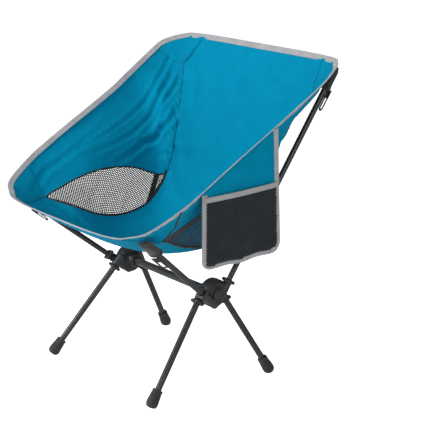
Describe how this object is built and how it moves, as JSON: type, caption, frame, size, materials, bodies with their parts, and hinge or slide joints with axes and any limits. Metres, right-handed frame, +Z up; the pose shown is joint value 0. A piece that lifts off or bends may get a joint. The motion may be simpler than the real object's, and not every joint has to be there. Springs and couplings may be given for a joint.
{
  "type": "ultralight camping chair",
  "caption": "Low folding camp chair: plug-in tube frame on two moulded hubs, bucket cloth sling with side mesh windows, grey edge tape and a hanging side pocket.",
  "frame": {"origin": "on the ground, in the middle of the chair's plan outline", "axes": "+Z up, -Y the way the sitter faces, +X to the sitter's left, where the pocket hangs"},
  "size_m": [0.5624, 0.5262, 0.6585],
  "materials": {
    "frame_tube": "black anodised, satin",
    "hub_plastic": "moulded nylon, fine texture",
    "shock_cord": "woven sheath",
    "foot_rubber": "matte",
    "tip_rubber": "matte",
    "teal_cloth": "plain-weave polyester",
    "black_mesh": "knitted mesh",
    "grey_binding": "folded tape",
    "black_cloth": "coarse polyester",
    "black_webbing": "woven webbing"
  },
  "bodies": {
    "frame": {"hub_left": "hub_plastic", "hub_right": "hub_plastic", "hub_cap_left": "hub_plastic", "hub_cap_right": "hub_plastic", "crossbar_tube": "frame_tube", "crossbar_shock_cord": "shock_cord", "front_left_pole_tube": "frame_tube", "front_left_pole_cord": "shock_cord", "front_left_pole_tip": "tip_rubber", "rear_left_pole_lower_tube": "frame_tube", "rear_left_pole_upper_tube": "frame_tube", "rear_left_pole_ferrule": "frame_tube", "rear_left_pole_cord": "shock_cord", "rear_left_pole_tip": "tip_rubber", "side_panel_left": "teal_cloth", "mesh_window_left": "black_mesh", "front_left_corner_patch": "teal_cloth", "rear_left_corner_patch": "teal_cloth", "front_left_pouch": "black_cloth", "rear_left_pouch": "black_cloth", "front_right_pole_tube": "frame_tube", "front_right_pole_cord": "shock_cord", "front_right_pole_tip": "tip_rubber", "rear_right_pole_lower_tube": "frame_tube", "rear_right_pole_upper_tube": "frame_tube", "rear_right_pole_ferrule": "frame_tube", "rear_right_pole_cord": "shock_cord", "rear_right_pole_tip": "tip_rubber", "side_panel_right": "teal_cloth", "mesh_window_right": "black_mesh", "front_right_corner_patch": "teal_cloth", "rear_right_corner_patch": "teal_cloth", "front_right_pouch": "black_cloth", "rear_right_pouch": "black_cloth", "seat_back_panel": "teal_cloth", "edge_binding": "grey_binding"},
    "front_left_leg": {"front_left_leg_tube": "frame_tube", "front_left_leg_cord": "shock_cord", "front_left_leg_foot": "foot_rubber"},
    "front_right_leg": {"front_right_leg_tube": "frame_tube", "front_right_leg_cord": "shock_cord", "front_right_leg_foot": "foot_rubber"},
    "rear_left_leg": {"rear_left_leg_tube": "frame_tube", "rear_left_leg_cord": "shock_cord", "rear_left_leg_foot": "foot_rubber"},
    "rear_right_leg": {"rear_right_leg_tube": "frame_tube", "rear_right_leg_cord": "shock_cord", "rear_right_leg_foot": "foot_rubber"},
    "pocket": {"pocket_panel": "teal_cloth", "pocket_binding": "grey_binding", "pocket_mesh": "black_mesh"},
    "front_left_loop": {"front_left_pull_loop": "black_webbing"},
    "front_right_loop": {"front_right_pull_loop": "black_webbing"},
    "rear_left_loop": {"rear_left_pull_loop": "black_webbing"},
    "rear_right_loop": {"rear_right_pull_loop": "black_webbing"}
  },
  "joints": [
    {"name": "front_left_leg_pull", "type": "slide", "parent": "frame", "child": "front_left_leg", "axis": [0.1475, -0.621, -0.7698], "range_m": [0, 0.038], "stiffness_N_per_m": 120, "springref_m": -0.05},
    {"name": "front_right_leg_pull", "type": "slide", "parent": "frame", "child": "front_right_leg", "axis": [-0.1475, -0.621, -0.7698], "range_m": [0, 0.038], "stiffness_N_per_m": 120, "springref_m": -0.05},
    {"name": "rear_left_leg_pull", "type": "slide", "parent": "frame", "child": "rear_left_leg", "axis": [0.1897, 0.4787, -0.8572], "range_m": [0, 0.038], "stiffness_N_per_m": 120, "springref_m": -0.05},
    {"name": "rear_right_leg_pull", "type": "slide", "parent": "frame", "child": "rear_right_leg", "axis": [-0.1897, 0.4787, -0.8572], "range_m": [0, 0.038], "stiffness_N_per_m": 120, "springref_m": -0.05},
    {"name": "pocket_swing", "type": "hinge", "parent": "frame", "child": "pocket", "pos_m": [0.2755, -0.11149, 0.4511], "axis": [0, -0.8669, -0.4985], "range_deg": [-10, 100]},
    {"name": "front_left_loop_swing", "type": "hinge", "parent": "frame", "child": "front_left_loop", "pos_m": [0.21996, -0.19022, 0.32277], "axis": [-0.8673, -0.4571, -0.1969], "range_deg": [-4, 90], "stiffness_Nm_per_rad": 0.004},
    {"name": "front_right_loop_swing", "type": "hinge", "parent": "frame", "child": "front_right_loop", "pos_m": [-0.21996, -0.19022, 0.32277], "axis": [-0.8673, 0.4571, 0.1969], "range_deg": [-4, 90], "stiffness_Nm_per_rad": 0.004},
    {"name": "rear_left_loop_swing", "type": "hinge", "parent": "frame", "child": "rear_left_loop", "pos_m": [0.22474, 0.24167, 0.59338], "axis": [0.9474, -0.3202, 0.0031], "range_deg": [-4, 90], "stiffness_Nm_per_rad": 0.004},
    {"name": "rear_right_loop_swing", "type": "hinge", "parent": "frame", "child": "rear_right_loop", "pos_m": [-0.22474, 0.24167, 0.59338], "axis": [0.9474, 0.3202, -0.0031], "range_deg": [-4, 90], "stiffness_Nm_per_rad": 0.004}
  ]
}
